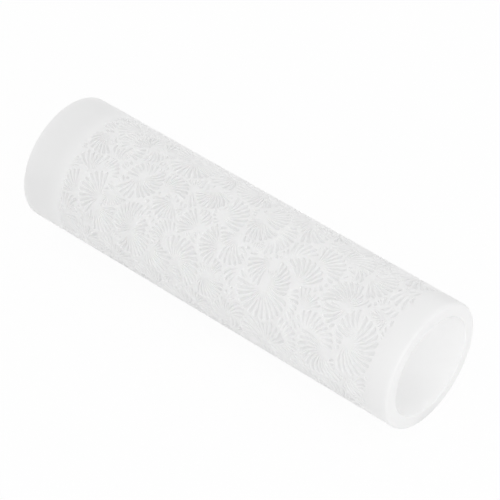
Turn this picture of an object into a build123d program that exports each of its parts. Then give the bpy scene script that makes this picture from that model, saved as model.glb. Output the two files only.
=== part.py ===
from build123d import *
from build123d.topology import SkipClean
import math
import os
import random

# Tube, in millimetres
LENGTH = 100.0
OUTSIDE_DIAMETER = 28.6
WALL = 2.9
END_ROUNDING = 0.6

# The surface is divided into patches, so that no face carries too many grooves
PATCH_RINGS = 13
PATCH_SECTORS = 6

# Plain bands left at each end of the tube
FAR_BAND = 10.5
NEAR_BAND = 5.3

# Engraved fans
FAN_RADIUS_SMALLEST = 3.4
FAN_RADIUS_LARGEST = 6.2
FAN_SPREAD_SMALLEST = math.radians(80)
FAN_SPREAD_LARGEST = math.radians(185)
FAN_BEND_LARGEST = 0.6
BARE_SPOT_SMALLEST = 1.4
FAN_CELL = 0.6
FAN_OVERHANG = 2.0
FAN_TRIALS = 30
FAN_OVERLAP_COST = 0.1
FAN_SEED = 7

# Grooves that radiate from the hub of each fan
GROOVE_DEPTH = 0.4
GROOVE_ANGLE = math.radians(28)
GROOVE_WIDTH_SHARE = 0.45
GROOVE_SHORTEST = 1.6
GROOVE_STEP = 0.12
HUB_SHARE = 0.12
RIDGE_BETWEEN_FANS = 0.15
SCALLOP_SHARE = 0.1
DEEPEST_POINT_SHARE = 0.6
END_CORNER_ANGLE = math.radians(30)
CUT_CLEARANCE = 0.6

radius = OUTSIDE_DIAMETER / 2
bore_radius = radius - WALL
girth = math.pi * OUTSIDE_DIAMETER
relief_length = LENGTH - FAR_BAND - NEAR_BAND
relief_start = FAR_BAND - LENGTH / 2
columns = int(relief_length / FAN_CELL)
rows = int(girth / FAN_CELL)
column_width = relief_length / columns
row_width = girth / rows
HALF_TURN = math.pi
FULL_TURN = 2 * math.pi


def nearest_way_round(distance):
    return (distance + girth / 2) % girth - girth / 2


def turned(angle):
    return (angle + HALF_TURN) % FULL_TURN - HALF_TURN


def cells_under(fan):
    """Cells of the unrolled surface that one fan covers."""
    x, y, size, heading, spread, bend = fan
    reach = int(size / column_width) + 1
    column = math.floor(x / column_width)
    row = math.floor(y / row_width)
    covered = []
    for i in range(max(0, column - reach), min(columns, column + reach + 1)):
        dx = (i + 0.5) * column_width - x
        for j in range(row - reach, row + reach + 1):
            dy = (j + 0.5) * row_width - y
            far = math.hypot(dx, dy)
            if far >= size:
                continue
            aside = abs(turned(math.atan2(dy, dx) - heading - bend * far / size))
            if far < HUB_SHARE * size or aside < spread / 2:
                covered.append((i, j % rows))
    return covered


def lay_fans():
    """Fans from the topmost to the lowest, each filling bare surface."""
    chance = random.Random(FAN_SEED)
    bare = {(i, j) for i in range(columns) for j in range(rows)}
    order = sorted(bare)
    chance.shuffle(order)
    fans = []
    for cell in order:
        if cell not in bare:
            continue
        middle_x = (cell[0] + 0.5) * column_width
        middle_y = (cell[1] + 0.5) * row_width
        growth = (chance.random() + middle_x / relief_length) / 2
        full_size = FAN_RADIUS_SMALLEST + (FAN_RADIUS_LARGEST - FAN_RADIUS_SMALLEST) * growth
        spread = chance.uniform(FAN_SPREAD_SMALLEST, FAN_SPREAD_LARGEST)
        best = None
        for trial in range(FAN_TRIALS):
            heading = chance.uniform(-HALF_TURN, HALF_TURN)
            size = full_size * chance.uniform(0.85, 1.1)
            back = size * chance.uniform(0.3, 0.7)
            bend = chance.uniform(-FAN_BEND_LARGEST, FAN_BEND_LARGEST)
            x = middle_x - back * math.cos(heading)
            y = (middle_y - back * math.sin(heading)) % girth
            if not -FAN_OVERHANG < x < relief_length + FAN_OVERHANG:
                continue
            fan = (x, y, size, heading, spread, bend)
            covered = cells_under(fan)
            fresh = sum(1 for c in covered if c in bare)
            score = fresh - FAN_OVERLAP_COST * (len(covered) - fresh)
            if best is None or score > best[0]:
                best = (score, fan, covered, fresh)
        if best and best[3] * column_width * row_width >= BARE_SPOT_SMALLEST ** 2:
            fans.append(best[1])
            bare.difference_update(best[2])
    return fans


def is_under(fan, x, y, margin):
    """Whether a point lies under a fan or within a margin round it."""
    dx = x - fan[0]
    dy = nearest_way_round(y - fan[1])
    far = math.hypot(dx, dy)
    if far > fan[2] + margin:
        return False
    if far < HUB_SHARE * fan[2] + margin:
        return True
    aside = abs(turned(math.atan2(dy, dx) - fan[3] - fan[5] * far / fan[2]))
    return aside < fan[4] / 2 + margin / far


def open_runs(fan, upper, heading, reach, growth):
    """Stretches of one groove's line where its full width is clear of every upper fan."""
    x, y, size = fan[:3]
    first = HUB_SHARE * size
    steps = int((reach - first) / GROOVE_STEP)
    runs = []
    start = None
    for k in range(steps + 1):
        far = first + (reach - first) * k / steps
        angle = heading + fan[5] * far / size
        px = x + far * math.cos(angle)
        py = y + far * math.sin(angle)
        margin = RIDGE_BETWEEN_FANS + growth * far
        inside = margin < px < relief_length - margin
        clear = inside and not any(is_under(other, px, py, margin) for other in upper)
        if clear and start is None:
            start = far
        if start is not None and (not clear or k == steps):
            if far - start >= GROOVE_SHORTEST:
                runs.append((start, far))
            start = None
    return runs


def lay_grooves(fans):
    """Each groove: hub x and y, heading, bend per length, start, end, half angle."""
    grooves = []
    for number, fan in enumerate(fans):
        x, y, size, heading, spread, bend = fan
        upper = []
        for other in fans[:number]:
            gap = math.hypot(other[0] - x, nearest_way_round(other[1] - y))
            if gap < size + other[2] + RIDGE_BETWEEN_FANS:
                upper.append(other)
        count = max(4, round(spread / GROOVE_ANGLE))
        growth = GROOVE_WIDTH_SHARE * math.tan(spread / count / 2)
        for k in range(count):
            share = (2 * k + 1) / count - 1
            reach = size * (1 - SCALLOP_SHARE * share ** 2)
            line = heading + share * spread / 2
            for start, end in open_runs(fan, upper, line, reach, growth):
                grooves.append((x, y, line, bend / size, start, end, spread / count / 2))
    return grooves


def groove_outline(groove):
    """Outline of one groove on the unrolled surface, with its deepest point first."""
    x, y, line, bend, start, end, half_angle = groove
    growth = GROOVE_WIDTH_SHARE * math.tan(half_angle)
    end_width = growth * end
    shoulder = end - end_width
    tip_out = end_width * math.cos(END_CORNER_ANGLE)
    tip_side = end_width * math.sin(END_CORNER_ANGLE)

    def at(far, side):
        angle = line + bend * far
        px = x + far * math.cos(angle) - side * math.sin(angle)
        py = y + far * math.sin(angle) + side * math.cos(angle)
        return px, py

    deepest = at(start + (end - start) * DEEPEST_POINT_SHARE, 0)
    outline = [
        at(start, growth * start),
        at(shoulder, growth * shoulder),
        at(shoulder + tip_out, tip_side),
        at(shoulder + tip_out, -tip_side),
        at(shoulder, -growth * shoulder),
        at(start, -growth * start),
    ]
    return deepest, outline


def groove_cutter(groove):
    """Flat-floored block that cuts one groove, square to the surface at its deepest point."""
    deepest, outline = groove_outline(groove)
    turn = deepest[1] / radius
    away = (0, math.sin(turn), math.cos(turn))
    floor_radius = radius - GROOVE_DEPTH
    floor = Plane(
        origin=(relief_start + deepest[0], floor_radius * away[1], radius + floor_radius * away[2]),
        x_dir=(1, 0, 0),
        z_dir=away,
    )
    flat = [(px - deepest[0], py - deepest[1]) for px, py in outline]
    profile = make_face(Polyline(*flat, close=True))
    return extrude(floor * profile, amount=GROOVE_DEPTH + CUT_CLEARANCE)


def make_tube():
    """Open tube lying on its side, rounded at both outer ends, in patches."""
    ring_length = LENGTH / PATCH_RINGS
    sector = 360 / PATCH_SECTORS
    blocks = []
    for ring in range(PATCH_RINGS):
        start = ring * ring_length - LENGTH / 2
        section = Plane(origin=(start, 0, radius), x_dir=(0, 1, 0), z_dir=(1, 0, 0))
        for number in range(PATCH_SECTORS):
            outer = CenterArc((0, 0), radius, number * sector, sector)
            inner = CenterArc((0, 0), bore_radius, number * sector, sector)
            side = Line(outer @ 0, inner @ 0)
            other_side = Line(outer @ 1, inner @ 1)
            profile = make_face([outer, side, inner, other_side])
            blocks.append(extrude(section * profile, amount=ring_length))
    body = blocks[0] + blocks[1:]
    faces = body.faces().sort_by(Axis.X)
    rims = []
    for face in faces[:PATCH_SECTORS] + faces[-PATCH_SECTORS:]:
        rims.append(face.edges().filter_by(GeomType.CIRCLE).sort_by(SortBy.RADIUS)[-1])
    return fillet(rims, radius=END_ROUNDING)


def make_textured_roller():
    grooves = lay_grooves(lay_fans())
    with SkipClean():
        return make_tube() - [groove_cutter(groove) for groove in grooves]


os.makedirs("parts", exist_ok=True)
textured_roller = make_textured_roller()
textured_roller.label = "textured_roller"
export_step(textured_roller, "parts/textured_roller.step", write_pcurves=False)
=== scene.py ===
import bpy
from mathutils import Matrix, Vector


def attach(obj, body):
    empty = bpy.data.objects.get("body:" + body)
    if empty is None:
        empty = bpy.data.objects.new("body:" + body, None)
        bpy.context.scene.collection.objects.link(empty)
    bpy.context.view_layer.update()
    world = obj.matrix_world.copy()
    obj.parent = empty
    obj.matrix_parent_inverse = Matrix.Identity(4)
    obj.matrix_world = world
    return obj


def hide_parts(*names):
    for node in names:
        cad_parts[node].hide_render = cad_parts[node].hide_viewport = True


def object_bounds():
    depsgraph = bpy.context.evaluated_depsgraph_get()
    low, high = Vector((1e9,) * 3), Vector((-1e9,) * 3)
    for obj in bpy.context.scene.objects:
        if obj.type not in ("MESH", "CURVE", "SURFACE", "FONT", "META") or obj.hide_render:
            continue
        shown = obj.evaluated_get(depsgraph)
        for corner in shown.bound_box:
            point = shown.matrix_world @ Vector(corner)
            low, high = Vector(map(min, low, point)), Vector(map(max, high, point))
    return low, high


bl_info = {
    "name": "Textured clay roller",
    "version": (1, 0, 0),
    "blender": (4, 5, 0),
    "location": "3D View > Sidebar > Clay roller",
    "description": "Makes a hollow resin clay roller with engraved fans, and a pale stage for it",
    "category": "Object",
}

import bmesh
import bpy
import math
import random
from mathutils import Matrix, Vector

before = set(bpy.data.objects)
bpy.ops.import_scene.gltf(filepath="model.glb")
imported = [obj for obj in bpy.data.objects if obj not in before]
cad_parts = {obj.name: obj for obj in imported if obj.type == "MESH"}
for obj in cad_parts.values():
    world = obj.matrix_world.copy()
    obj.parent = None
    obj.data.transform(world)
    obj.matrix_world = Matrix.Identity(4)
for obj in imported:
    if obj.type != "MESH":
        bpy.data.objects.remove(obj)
CAD_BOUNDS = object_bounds()
MM = 0.001
HALF_TURN = math.pi
FULL_TURN = 2 * math.pi

# Fans on the unrolled surface, in millimetres, laid out as on the solid model
FAN_RADIUS_SMALLEST = 3.4
FAN_RADIUS_LARGEST = 6.2
FAN_SPREAD_SMALLEST = math.radians(80)
FAN_SPREAD_LARGEST = math.radians(185)
FAN_BEND_LARGEST = 0.6
BARE_SPOT_SMALLEST = 1.4
FAN_CELL = 0.6
FAN_OVERHANG = 2.0
FAN_TRIALS = 30
FAN_OVERLAP_COST = 0.1
FAN_SEED = 7
# Least and most share of a fan's size that it gets, and that its hub stands back from a bare spot
FAN_SIZE_SHARES = (0.85, 1.1)
FAN_BACK_SHARES = (0.3, 0.7)
HUB_SHARE = 0.12
# The grooves fill fans a tenth larger and wider than the solid model's, which closes the gaps
FAN_SWELLING_SHARE = 1.1

# Grooves that radiate from each fan's hub, in millimetres, twice as close as the solid model's
GROOVE_ANGLE = math.radians(14)
GROOVES_FEWEST = 4
GROOVE_WIDTH_SHARE = 0.76
# A groove is laid at its full width first, and then narrower where that left its line free
GROOVE_NARROWING_SHARES = (1.0, 0.6)
GROOVE_SHORTEST = 0.65
GROOVE_STEP = 0.12
GAP_ALONG_GROOVE = 0.3
RIDGE_BETWEEN_FANS = 0.05
# How far a groove's rounded end reaches past its full width, and how wide it counts there
END_REACH_SHARE = 0.9
END_WIDTH_SHARE = 0.4
# How much shorter a fan's outermost grooves are than its middle one
SCALLOP_SHARE = 0.05

# Shape of one groove: (share of the straight part, share of the depth) along it
STRAIGHT_STATIONS = ((0.0, 0.15), (0.3, 0.55), (0.62, 0.9), (1.0, 1.0))
# (share of the end's radius, share of the width, share of the depth) round its outer end
ROUND_STATIONS = ((0.6, 0.8, 0.92), (1.0, 0.15, 0.3))
# (share of the half width, share of the depth) across it; the first and last stand clear above
ACROSS = ((-1.25, 0.0), (-0.5, 1.0), (0.5, 1.0), (1.25, 0.0))
CLEAR_ABOVE = 0.15
# Deepest that a groove gets, as a share of its half width at its outer end
DEPTH_SHARE = 0.85

# How finely the tube is divided, how close its doubled points are, and its sharpest smooth edge
ROUNDING_SEGMENTS = 5
CUTS_ALONG = 8
STEPS_ROUND = 96
DOUBLES_APART = 1e-7
SMOOTH_EDGE_ANGLE = math.radians(38)


def srgb(hex_colour):
    """Linear colour from an sRGB hex value."""
    parts = [int(hex_colour[i:i + 2], 16) / 255 for i in (1, 3, 5)]
    linear = [p / 12.92 if p <= 0.04045 else ((p + 0.055) / 1.055) ** 2.4 for p in parts]
    return (*linear, 1.0)


class RollerSizes(bpy.types.PropertyGroup):
    """Sizes and colours of the roller."""
    length: bpy.props.FloatProperty(
        name="Length", description="Length of the tube",
        default=CAD_BOUNDS[1][0] - CAD_BOUNDS[0][0], unit="LENGTH", precision=4)
    outside_diameter: bpy.props.FloatProperty(
        name="Outside diameter", description="Diameter over the ridges and the plain bands",
        default=CAD_BOUNDS[1][2] - CAD_BOUNDS[0][2], unit="LENGTH", precision=4)
    wall: bpy.props.FloatProperty(
        name="Wall", description="Thickness of the tube's wall",
        default=0.0029, unit="LENGTH", precision=4)
    end_rounding: bpy.props.FloatProperty(
        name="End rounding", description="Radius of the rounded outer edge at each end",
        default=0.0006, unit="LENGTH", precision=4)
    far_band: bpy.props.FloatProperty(
        name="Wide plain band", description="Length of the plain band at the far end",
        default=0.0105, unit="LENGTH", precision=4)
    near_band: bpy.props.FloatProperty(
        name="Narrow plain band", description="Length of the plain band at the near end",
        default=0.0053, unit="LENGTH", precision=4)
    groove_depth: bpy.props.FloatProperty(
        name="Groove depth", description="Depth of the engraved grooves",
        default=0.0004, unit="LENGTH", precision=5)
    resin: bpy.props.FloatVectorProperty(
        name="Resin", description="Colour of the cast resin",
        default=srgb("#FEFEFE"), size=4, subtype="COLOR", min=0.0, max=1.0)
    # Painted shade: the grey that the grooves are coloured with
    groove_shade_colour: bpy.props.FloatVectorProperty(
        name="Thin resin", description="Colour of the resin under the grooves",
        default=srgb("#F3F3F3"), size=4, subtype="COLOR", min=0.0, max=1.0)
    # Painted shade: the grey that the far end is coloured with
    far_end_shade_colour: bpy.props.FloatVectorProperty(
        name="Settled resin", description="Colour of the resin at the far end, as it settled",
        default=srgb("#F2F2F2"), size=4, subtype="COLOR", min=0.0, max=1.0)


class StageSizes(bpy.types.PropertyGroup):
    """Sizes and colours of the stage."""
    floor_size: bpy.props.FloatProperty(
        name="Floor", description="Side of the square floor",
        default=6.0, unit="LENGTH")
    floor: bpy.props.FloatVectorProperty(
        name="Floor colour", description="Colour of the pale floor",
        default=srgb("#FEFEFE"), size=4, subtype="COLOR", min=0.0, max=1.0)
    white_share: bpy.props.FloatProperty(
        name="Whiteness", description="How far the floor fades to white behind the object",
        default=0.95, subtype="FACTOR", min=0.0, max=1.0)


# Materials

# Clouds in the resin: their size, their darkest tone as a share of the resin's, the noise's
# usual range, and the roughness at each end of it
CLOUD_SIZE = 6 * MM
CLOUD_DARKEST = 0.99
CLOUD_RANGE = (0.3, 0.7)
ROUGHNESS_RANGE = (0.34, 0.46)
# Shares of the groove depth where the painted groove shade starts and where it is full
GREY_FROM_SHARE = 0.05
GREY_FULL_SHARE = 0.8
# Depth of the engraved skin, in groove depths, which keeps the painted groove shade out of the
# bore
SKIN_DEPTHS = 2
# Half the length over which the far end's painted shade fades out
FADE_HALF = 4 * MM
# Matt grain that the mould leaves on the surface
GRAIN_SIZE = 0.35 * MM
GRAIN_HEIGHT = 0.05 * MM
GRAIN_STRENGTH = 0.08
# How strongly the resin bends light, and how far light passes into it
RESIN_IOR = 1.5
LIGHT_REACH = 2 * MM


def add_node(tree, kind, settings=None, links=None):
    """Add one node, set its sockets and properties, and link its inputs."""
    node = tree.nodes.new(kind)
    for name, value in (settings or {}).items():
        if isinstance(name, int) or name in node.inputs:
            node.inputs[name].default_value = value
        else:
            setattr(node, name, value)
    for name, source in (links or {}).items():
        tree.links.new(source, node.inputs[name])
    return node


def empty_material(name):
    material = bpy.data.materials.new(name)
    material.use_nodes = True
    material.node_tree.nodes.clear()
    return material


def cast_resin(sizes):
    """Frosted white resin, cast in a soft mould.

    To the eye it is milky and softly glossy, and light passes a little way into it. Its grooves
    and its far end are greyed with painted shade.
    """
    material = empty_material("frosted_resin_cast")
    tree = material.node_tree
    place = add_node(tree, "ShaderNodeTexCoord")
    # Faint cloudiness a few millimetres across, as unevenly mixed filler gives
    cloud = add_node(tree, "ShaderNodeTexNoise", {"Scale": 1 / CLOUD_SIZE, "Detail": 3.0},
                     {"Vector": place.outputs["Object"]})
    tint = add_node(tree, "ShaderNodeMixRGB", {
        "Color1": tuple(c * CLOUD_DARKEST for c in sizes.resin[:3]) + (1.0,),
        "Color2": tuple(sizes.resin)}, {"Fac": cloud.outputs["Fac"]})
    # Painted shade in the grooves: the resin is greyed there, so that they read as soft grey
    # strokes;
    # they are told from the ridges by each point's distance from the tube's axis
    relief = sizes.length - sizes.far_band - sizes.near_band
    middle = (sizes.far_band - sizes.near_band) / 2
    outer = sizes.outside_diameter / 2
    place_x = add_node(tree, "ShaderNodeSeparateXYZ", None, {"Vector": place.outputs["Object"]})
    spoke = add_node(tree, "ShaderNodeMapping", {
        "Location": (0, 0, -outer), "Scale": (0, 1, 1)}, {"Vector": place.outputs["Object"]})
    far = add_node(tree, "ShaderNodeVectorMath", {"operation": "LENGTH"},
                   {"Vector": spoke.outputs["Vector"]})
    deep = add_node(tree, "ShaderNodeMapRange", {
        "interpolation_type": "SMOOTHSTEP",
        "From Min": outer - GREY_FULL_SHARE * sizes.groove_depth,
        "From Max": outer - GREY_FROM_SHARE * sizes.groove_depth, "To Min": 1.0, "To Max": 0.0},
        {"Value": far.outputs["Value"]})
    outside = add_node(tree, "ShaderNodeMath", {
        "operation": "GREATER_THAN", 1: outer - SKIN_DEPTHS * sizes.groove_depth},
        {0: far.outputs["Value"]})
    engraved = add_node(tree, "ShaderNodeMath", {
        "operation": "COMPARE", 1: middle, 2: relief / 2}, {0: place_x.outputs["X"]})
    both = add_node(tree, "ShaderNodeMath", {"operation": "MULTIPLY"}, {
        0: outside.outputs["Value"], 1: engraved.outputs["Value"]})
    groove_shade_share = add_node(tree, "ShaderNodeMath", {"operation": "MULTIPLY"}, {
        0: both.outputs["Value"], 1: deep.outputs["Result"]})
    # Painted shade: the far end is a little greyer, with a soft edge, as if less light reached it
    band_edge = sizes.far_band - sizes.length / 2
    far_end_shade = add_node(tree, "ShaderNodeMapRange", {
        "interpolation_type": "SMOOTHSTEP", "From Min": band_edge - FADE_HALF,
        "From Max": band_edge + FADE_HALF, "To Min": 1.0, "To Max": 0.0},
        {"Value": place_x.outputs["X"]})
    body = add_node(tree, "ShaderNodeMixRGB", {"Color2": tuple(sizes.far_end_shade_colour)}, {
        "Fac": far_end_shade.outputs["Result"], "Color1": tint.outputs["Color"]})
    shade = add_node(tree, "ShaderNodeMixRGB", {"Color2": tuple(sizes.groove_shade_colour)}, {
        "Fac": groove_shade_share.outputs["Value"], "Color1": body.outputs["Color"]})
    # Matt grain of the mould, drawn coarser than the real grain so that it shows
    grain = add_node(tree, "ShaderNodeTexNoise", {"Scale": 1 / GRAIN_SIZE, "Detail": 2.0},
                     {"Vector": place.outputs["Object"]})
    bump = add_node(tree, "ShaderNodeBump", {
        "Strength": GRAIN_STRENGTH, "Distance": GRAIN_HEIGHT}, {"Height": grain.outputs["Fac"]})
    shine = add_node(tree, "ShaderNodeMapRange", {
        "From Min": CLOUD_RANGE[0], "From Max": CLOUD_RANGE[1],
        "To Min": ROUGHNESS_RANGE[0], "To Max": ROUGHNESS_RANGE[1]},
        {"Value": cloud.outputs["Fac"]})
    resin = add_node(tree, "ShaderNodeBsdfPrincipled", {
        "IOR": RESIN_IOR, "Subsurface Weight": 1.0,
        "Subsurface Radius": (1.0, 1.0, 1.0), "Subsurface Scale": LIGHT_REACH},
        {"Base Color": shade.outputs["Color"], "Roughness": shine.outputs["Result"],
         "Normal": bump.outputs["Normal"]})
    add_node(tree, "ShaderNodeOutputMaterial", None, {"Surface": resin.outputs["BSDF"]})
    return material


def plain_floor(stage):
    """Painted board: matt and pale, nearly white where the camera or a reflection sees it."""
    material = empty_material("matt_pale_board")
    tree = material.node_tree
    matt = add_node(tree, "ShaderNodeBsdfDiffuse", {"Color": tuple(stage.floor)})
    white = add_node(tree, "ShaderNodeEmission", {"Color": (1, 1, 1, 1), "Strength": 1.0})
    path = add_node(tree, "ShaderNodeLightPath")
    seen = add_node(tree, "ShaderNodeMath", {"operation": "MAXIMUM"}, {
        0: path.outputs["Is Camera Ray"], 1: path.outputs["Is Glossy Ray"]})
    shown = add_node(tree, "ShaderNodeMath", {"operation": "MAXIMUM"}, {
        0: seen.outputs["Value"], 1: path.outputs["Is Transmission Ray"]})
    share = add_node(tree, "ShaderNodeMath", {"operation": "MULTIPLY", 1: stage.white_share},
                     {0: shown.outputs["Value"]})
    mix = add_node(tree, "ShaderNodeMixShader", None, {
        0: share.outputs["Value"], 1: matt.outputs["BSDF"], 2: white.outputs["Emission"]})
    add_node(tree, "ShaderNodeOutputMaterial", None, {"Surface": mix.outputs["Shader"]})
    return material


# Layout of the fans and grooves on the unrolled surface, in millimetres

class Sheet:
    """The unrolled engraved surface, divided into cells."""

    def __init__(self, sizes):
        self.radius = sizes.outside_diameter / 2 / MM
        self.length = (sizes.length - sizes.far_band - sizes.near_band) / MM
        self.start = (sizes.far_band - sizes.length / 2) / MM
        self.girth = FULL_TURN * self.radius
        self.columns = int(self.length / FAN_CELL)
        self.rows = int(self.girth / FAN_CELL)
        self.column_width = self.length / self.columns
        self.row_width = self.girth / self.rows

    def nearest_way_round(self, distance):
        return (distance + self.girth / 2) % self.girth - self.girth / 2


def turned(angle):
    return (angle + HALF_TURN) % FULL_TURN - HALF_TURN


def cells_under(sheet, fan):
    """Cells of the unrolled surface that one fan covers."""
    x, y, size, heading, spread, bend = fan
    reach = int(size / sheet.column_width) + 1
    column = math.floor(x / sheet.column_width)
    row = math.floor(y / sheet.row_width)
    covered = []
    for i in range(max(0, column - reach), min(sheet.columns, column + reach + 1)):
        dx = (i + 0.5) * sheet.column_width - x
        for j in range(row - reach, row + reach + 1):
            dy = (j + 0.5) * sheet.row_width - y
            far = math.hypot(dx, dy)
            if far >= size:
                continue
            aside = abs(turned(math.atan2(dy, dx) - heading - bend * far / size))
            if far < HUB_SHARE * size or aside < spread / 2:
                covered.append((i, j % sheet.rows))
    return covered


def lay_fans(sheet):
    """Fans from the topmost to the lowest, each filling bare surface."""
    chance = random.Random(FAN_SEED)
    bare = {(i, j) for i in range(sheet.columns) for j in range(sheet.rows)}
    order = sorted(bare)
    chance.shuffle(order)
    fans = []
    for cell in order:
        if cell not in bare:
            continue
        middle_x = (cell[0] + 0.5) * sheet.column_width
        middle_y = (cell[1] + 0.5) * sheet.row_width
        growth = (chance.random() + middle_x / sheet.length) / 2
        full_size = FAN_RADIUS_SMALLEST + (FAN_RADIUS_LARGEST - FAN_RADIUS_SMALLEST) * growth
        spread = chance.uniform(FAN_SPREAD_SMALLEST, FAN_SPREAD_LARGEST)
        best = None
        for _ in range(FAN_TRIALS):
            heading = chance.uniform(-HALF_TURN, HALF_TURN)
            size = full_size * chance.uniform(*FAN_SIZE_SHARES)
            back = size * chance.uniform(*FAN_BACK_SHARES)
            bend = chance.uniform(-FAN_BEND_LARGEST, FAN_BEND_LARGEST)
            x = middle_x - back * math.cos(heading)
            y = (middle_y - back * math.sin(heading)) % sheet.girth
            if not -FAN_OVERHANG < x < sheet.length + FAN_OVERHANG:
                continue
            fan = (x, y, size, heading, spread, bend)
            covered = cells_under(sheet, fan)
            fresh = sum(1 for c in covered if c in bare)
            score = fresh - FAN_OVERLAP_COST * (len(covered) - fresh)
            if best is None or score > best[0]:
                best = (score, fan, covered, fresh)
        if best and best[3] * sheet.column_width * sheet.row_width >= BARE_SPOT_SMALLEST ** 2:
            fans.append(best[1])
            bare.difference_update(best[2])
    return fans


def is_under(sheet, fan, x, y, margin):
    """Whether a point lies under a fan or within a margin round it."""
    dx = x - fan[0]
    dy = sheet.nearest_way_round(y - fan[1])
    far = math.hypot(dx, dy)
    if far > fan[2] + margin:
        return False
    if far < HUB_SHARE * fan[2] + margin:
        return True
    aside = abs(turned(math.atan2(dy, dx) - fan[3] - fan[5] * far / fan[2]))
    return aside < fan[4] / 2 + margin / far


def open_runs(sheet, fan, upper, heading, reach, growth):
    """Stretches of one groove's line that are clear of every upper fan."""
    x, y, size = fan[:3]
    first = HUB_SHARE * size
    steps = int((reach - first) / GROOVE_STEP)
    places = [first + (reach - first) * k / steps for k in range(steps + 1)]

    def is_clear(far, width_share):
        angle = heading + fan[5] * far / size
        px = x + far * math.cos(angle)
        py = y + far * math.sin(angle)
        margin = RIDGE_BETWEEN_FANS + width_share * growth * far
        inside = margin < px < sheet.length - margin
        return inside and not any(is_under(sheet, other, px, py, margin) for other in upper)

    runs = []
    k = 0
    while k <= steps:
        if not is_clear(places[k], 1.0):
            k += 1
            continue
        start = places[k]
        while k < steps and is_clear(places[k + 1], 1.0):
            k += 1
        # The rounded end is narrower, so it reaches further than the full width can
        furthest = places[k] * (1 + END_REACH_SHARE * growth)
        while k < steps and places[k + 1] < furthest and is_clear(places[k + 1], END_WIDTH_SHARE):
            k += 1
        if places[k] - start >= GROOVE_SHORTEST:
            runs.append((start, places[k]))
        k += 1
    return runs


def lay_grooves(sheet):
    """Each groove: hub x and y, heading, bend per length, start, end, half angle."""
    fans = []
    for x, y, size, heading, spread, bend in lay_fans(sheet):
        fans.append((x, y, size * FAN_SWELLING_SHARE, heading, spread * FAN_SWELLING_SHARE,
                     bend * FAN_SWELLING_SHARE))
    grooves = []
    for number, fan in enumerate(fans):
        x, y, size, heading, spread, bend = fan
        upper = []
        for other in fans[:number]:
            gap = math.hypot(other[0] - x, sheet.nearest_way_round(other[1] - y))
            if gap < size + other[2] + RIDGE_BETWEEN_FANS:
                upper.append(other)
        count = max(GROOVES_FEWEST, round(spread / GROOVE_ANGLE))
        for k in range(count):
            share = (2 * k + 1) / count - 1
            reach = size * (1 - SCALLOP_SHARE * share ** 2)
            line = heading + share * spread / 2
            taken = []
            for narrowing in GROOVE_NARROWING_SHARES:
                half_angle = spread / count / 2 * narrowing
                growth = GROOVE_WIDTH_SHARE * math.tan(half_angle)
                for start, end in open_runs(sheet, fan, upper, line, reach, growth):
                    if all(end + GAP_ALONG_GROOVE < other[0]
                           or start > other[1] + GAP_ALONG_GROOVE for other in taken):
                        taken.append((start, end))
                        grooves.append((x, y, line, bend / size, start, end, half_angle))
    return grooves


# Meshes

def mesh_object(bm, name):
    mesh = bpy.data.meshes.new(name)
    bm.to_mesh(mesh)
    bm.free()
    piece = bpy.data.objects.new(name, mesh)
    bpy.context.scene.collection.objects.link(piece)
    return piece


def make_tube(sizes):
    """Plain open tube, spun from its wall's section."""
    bm = bmesh.new()
    half = sizes.length / 2
    outer = sizes.outside_diameter / 2
    inner = outer - sizes.wall
    corners = [bm.verts.new((x, 0, outer + r)) for x, r in
               ((-half, inner), (-half, outer), (half, outer), (half, inner))]
    for k in range(4):
        bm.edges.new((corners[k], corners[(k + 1) % 4]))
    bmesh.ops.bevel(bm, geom=[corners[1], corners[2]], offset=sizes.end_rounding,
                    offset_type="OFFSET", affect="VERTICES", segments=ROUNDING_SEGMENTS,
                    profile=0.5, material=-1)
    along = [e for e in bm.edges if abs(e.verts[0].co.x - e.verts[1].co.x) > half]
    bmesh.ops.subdivide_edges(bm, edges=along, cuts=CUTS_ALONG)
    bmesh.ops.spin(bm, geom=bm.verts[:] + bm.edges[:], cent=(0, 0, outer), axis=(1, 0, 0),
                   dvec=(0, 0, 0), angle=FULL_TURN, steps=STEPS_ROUND, use_merge=True)
    bmesh.ops.remove_doubles(bm, verts=bm.verts[:], dist=DOUBLES_APART)
    bmesh.ops.recalc_face_normals(bm, faces=bm.faces[:])
    return mesh_object(bm, "textured_roller_engraved")


def groove_stations(groove, depth):
    """Stations along one groove: distance from its hub, half width and depth."""
    start, end, half_angle = groove[4:]
    growth = GROOVE_WIDTH_SHARE * math.tan(half_angle)
    end_width = growth * end
    shoulder = end - end_width
    depth = min(depth, DEPTH_SHARE * end_width)
    stations = []
    for share, deep in STRAIGHT_STATIONS:
        far = start + (shoulder - start) * share
        stations.append((far, growth * far, depth * deep))
    for out, wide, deep in ROUND_STATIONS:
        stations.append((shoulder + end_width * out, end_width * wide, depth * deep))
    return stations


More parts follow.
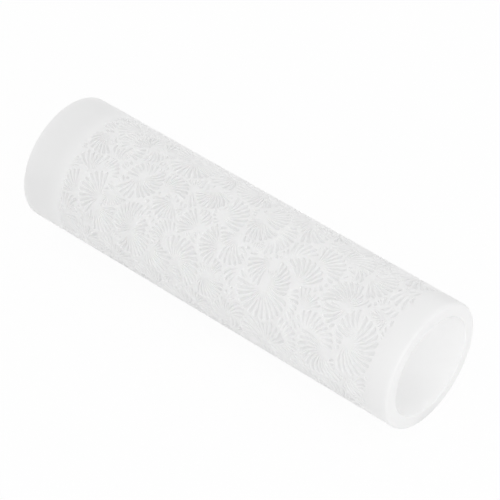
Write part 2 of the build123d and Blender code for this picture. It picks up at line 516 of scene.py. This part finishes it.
def make_groove_cutters(sizes, sheet, grooves):
    """One closed teardrop for each groove, pulled out section by section."""
    bm = bmesh.new()
    owner = bm.verts.layers.int.new("groove")
    corner = bm.verts.layers.int.new("corner")
    sections = [groove_stations(g, sizes.groove_depth / MM) for g in grooves]

    def place(vert, station):
        groove = grooves[vert[owner]]
        far, half_width, depth = sections[vert[owner]][station]
        aside, deep = ACROSS[vert[corner]]
        height = CLEAR_ABOVE if deep == 0.0 else -depth * deep
        angle = groove[2] + groove[3] * far
        px = groove[0] + far * math.cos(angle) - aside * half_width * math.sin(angle)
        py = groove[1] + far * math.sin(angle) + aside * half_width * math.cos(angle)
        turn = py / sheet.radius
        out = sheet.radius + height
        vert.co = Vector((sheet.start + px, out * math.sin(turn),
                          sheet.radius + out * math.cos(turn))) * MM

    caps = []
    for number in range(len(grooves)):
        ring = []
        for k in range(len(ACROSS)):
            vert = bm.verts.new((number, k, 0))
            vert[owner] = number
            vert[corner] = k
            place(vert, 0)
            ring.append(vert)
        caps.append(bm.faces.new(ring))
    for station in range(1, len(STRAIGHT_STATIONS) + len(ROUND_STATIONS)):
        pulled = bmesh.ops.extrude_face_region(bm, geom=caps)["geom"]
        if station > 1:
            bmesh.ops.delete(bm, geom=caps, context="FACES_ONLY")
        caps = [g for g in pulled if isinstance(g, bmesh.types.BMFace)]
        for vert in [g for g in pulled if isinstance(g, bmesh.types.BMVert)]:
            place(vert, station)
    bmesh.ops.recalc_face_normals(bm, faces=bm.faces[:])
    return mesh_object(bm, "groove_cutters")


def engrave(tube, cutters):
    """Cut the grooves out of the tube and keep only the result."""
    cut = tube.modifiers.new("engraving", "BOOLEAN")
    cut.operation = "DIFFERENCE"
    cut.solver = "MANIFOLD"
    cut.object = cutters
    plain = tube.data
    result = bpy.data.meshes.new_from_object(
        tube.evaluated_get(bpy.context.evaluated_depsgraph_get()))
    tube.modifiers.clear()
    tube.data = result
    result.name = tube.name
    bpy.data.meshes.remove(plain)
    bpy.data.objects.remove(cutters)
    result.shade_smooth()
    result.set_sharp_from_angle(angle=SMOOTH_EDGE_ANGLE)


class ROLLER_OT_textured_roller(bpy.types.Operator):
    """Make the engraved resin tube"""
    bl_idname = "clay_roller.textured_roller"
    bl_label = "Textured roller"

    def execute(self, context):
        sizes = context.scene.roller_sizes
        sheet = Sheet(sizes)
        tube = make_tube(sizes)
        cutters = make_groove_cutters(sizes, sheet, lay_grooves(sheet))
        engrave(tube, cutters)
        tube.data.materials.clear()
        tube.data.materials.append(cast_resin(sizes))
        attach(tube, "root")
        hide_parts("textured_roller")
        return {"FINISHED"}


# Stage

# Turn of the view about the vertical and its height above the floor, in degrees
VIEW_TURN = 40.64
VIEW_HEIGHT = 42.44
VIEW_DISTANCE = 580.9 * MM
# How far the camera stands to the right of the tube's middle and above it, in its own frame
VIEW_ASIDE = 1.592 * MM
VIEW_UP = 1.529 * MM
# Focal length and sensor width, in millimetres, and how far the camera sees, in metres
VIEW_LENS = 199.66
VIEW_SENSOR = 36.0
VIEW_REACH = 50.0

# Light of the white room, where 1 is white
ROOM_STRENGTH = 0.84
# Soft lamp on the mouth's side: its place, how far along the tube it points, its size and power
SIDE_LAMP_PLACE = (0.55, -0.25, 0.22)
SIDE_LAMP_AIM = 0.03
SIDE_LAMP_SIZE = 0.4
SIDE_LAMP_POWER = 0.4
# Weak lamp in the far mouth, which lights the bore as daylight through the thin walls does: its
# gap from the tube, its spread in degrees, its power, and its size and aim as shares of the bore
MOUTH_LAMP_GAP = 2 * MM
MOUTH_LAMP_SPREAD = 30
MOUTH_LAMP_POWER = 0.004
MOUTH_LAMP_SIZE_SHARE = 1.6
MOUTH_LAMP_AIM_SHARE = 0.3


def view_axes():
    turn = math.radians(VIEW_TURN)
    height = math.radians(VIEW_HEIGHT)
    right = Vector((math.cos(turn), math.sin(turn), 0))
    back = Vector((math.sin(turn) * math.cos(height), -math.cos(turn) * math.cos(height),
                   math.sin(height)))
    return right, back.cross(right), back


def make_camera(axis_height):
    right, up, back = view_axes()
    data = bpy.data.cameras.new("view")
    data.lens = VIEW_LENS
    data.sensor_width = VIEW_SENSOR
    data.clip_end = VIEW_REACH
    camera = bpy.data.objects.new("view", data)
    centre = Vector((0, 0, axis_height))
    place = centre + right * VIEW_ASIDE + up * VIEW_UP + back * VIEW_DISTANCE
    turn = Matrix((right, up, back)).transposed()
    camera.matrix_world = Matrix.Translation(place) @ turn.to_4x4()
    bpy.context.scene.collection.objects.link(camera)
    bpy.context.scene.camera = camera


def add_lamp(name, place, target, size, power, spread=180, mirrored=True):
    """Round soft lamp aimed at a point, spread in degrees, seen in reflections if mirrored."""
    data = bpy.data.lights.new(name, "AREA")
    data.shape = "DISK"
    data.size = size
    data.spread = math.radians(spread)
    data.energy = power
    lamp = bpy.data.objects.new(name, data)
    lamp.location = place
    lamp.rotation_euler = (Vector(place) - Vector(target)).to_track_quat("Z", "Y").to_euler()
    lamp.visible_camera = False
    lamp.visible_glossy = mirrored
    bpy.context.scene.collection.objects.link(lamp)


def make_surroundings():
    """Even white room, seen white behind the object."""
    world = bpy.data.worlds.new("white_room")
    world.use_nodes = True
    tree = world.node_tree
    tree.nodes.clear()
    path = add_node(tree, "ShaderNodeLightPath")
    room = add_node(tree, "ShaderNodeBackground", {
        "Color": (1, 1, 1, 1), "Strength": ROOM_STRENGTH})
    seen = add_node(tree, "ShaderNodeBackground", {"Color": (1, 1, 1, 1), "Strength": 1.0})
    mix = add_node(tree, "ShaderNodeMixShader", None, {
        0: path.outputs["Is Camera Ray"], 1: room.outputs["Background"],
        2: seen.outputs["Background"]})
    add_node(tree, "ShaderNodeOutputWorld", None, {"Surface": mix.outputs["Shader"]})
    bpy.context.scene.world = world


class ROLLER_OT_stage(bpy.types.Operator):
    """Make the floor, the soft light and the camera"""
    bl_idname = "clay_roller.stage"
    bl_label = "Stage"

    def execute(self, context):
        sizes = context.scene.roller_sizes
        stage = context.scene.roller_stage
        bm = bmesh.new()
        bmesh.ops.create_grid(bm, x_segments=1, y_segments=1, size=stage.floor_size / 2)
        floor = mesh_object(bm, "floor")
        floor.data.materials.append(plain_floor(stage))
        make_surroundings()
        axis_height = sizes.outside_diameter / 2
        add_lamp("mouth_side", SIDE_LAMP_PLACE, (SIDE_LAMP_AIM, 0, axis_height),
                 SIDE_LAMP_SIZE, SIDE_LAMP_POWER)
        far_mouth = -sizes.length / 2 - MOUTH_LAMP_GAP
        inner = sizes.outside_diameter / 2 - sizes.wall
        aside = MOUTH_LAMP_AIM_SHARE * inner
        # It is kept out of reflections, where it would burn out the bore
        add_lamp("far_mouth", (far_mouth, 0, axis_height),
                 (sizes.length / 2, aside, axis_height - aside),
                 MOUTH_LAMP_SIZE_SHARE * inner, MOUTH_LAMP_POWER,
                 spread=MOUTH_LAMP_SPREAD, mirrored=False)
        make_camera(axis_height)
        context.scene.view_settings.view_transform = "Standard"
        return {"FINISHED"}


class ROLLER_PT_panel(bpy.types.Panel):
    """Sizes, colours and pieces of the roller"""
    bl_label = "Clay roller"
    bl_idname = "ROLLER_PT_panel"
    bl_space_type = "VIEW_3D"
    bl_region_type = "UI"
    bl_category = "Clay roller"

    def draw(self, context):
        for group in (context.scene.roller_sizes, context.scene.roller_stage):
            box = self.layout.box()
            for name in group.__annotations__:
                box.prop(group, name)
        for operator in (ROLLER_OT_textured_roller, ROLLER_OT_stage):
            self.layout.operator(operator.bl_idname)


CLASSES = (RollerSizes, StageSizes, ROLLER_OT_textured_roller, ROLLER_OT_stage, ROLLER_PT_panel)


def register():
    for item in CLASSES:
        bpy.utils.register_class(item)
    bpy.types.Scene.roller_sizes = bpy.props.PointerProperty(type=RollerSizes)
    bpy.types.Scene.roller_stage = bpy.props.PointerProperty(type=StageSizes)


def unregister():
    del bpy.types.Scene.roller_stage
    del bpy.types.Scene.roller_sizes
    for item in reversed(CLASSES):
        bpy.utils.unregister_class(item)


def main():
    register()
    bpy.ops.clay_roller.textured_roller()
    bpy.ops.clay_roller.stage()


if __name__ == "__main__":
    main()
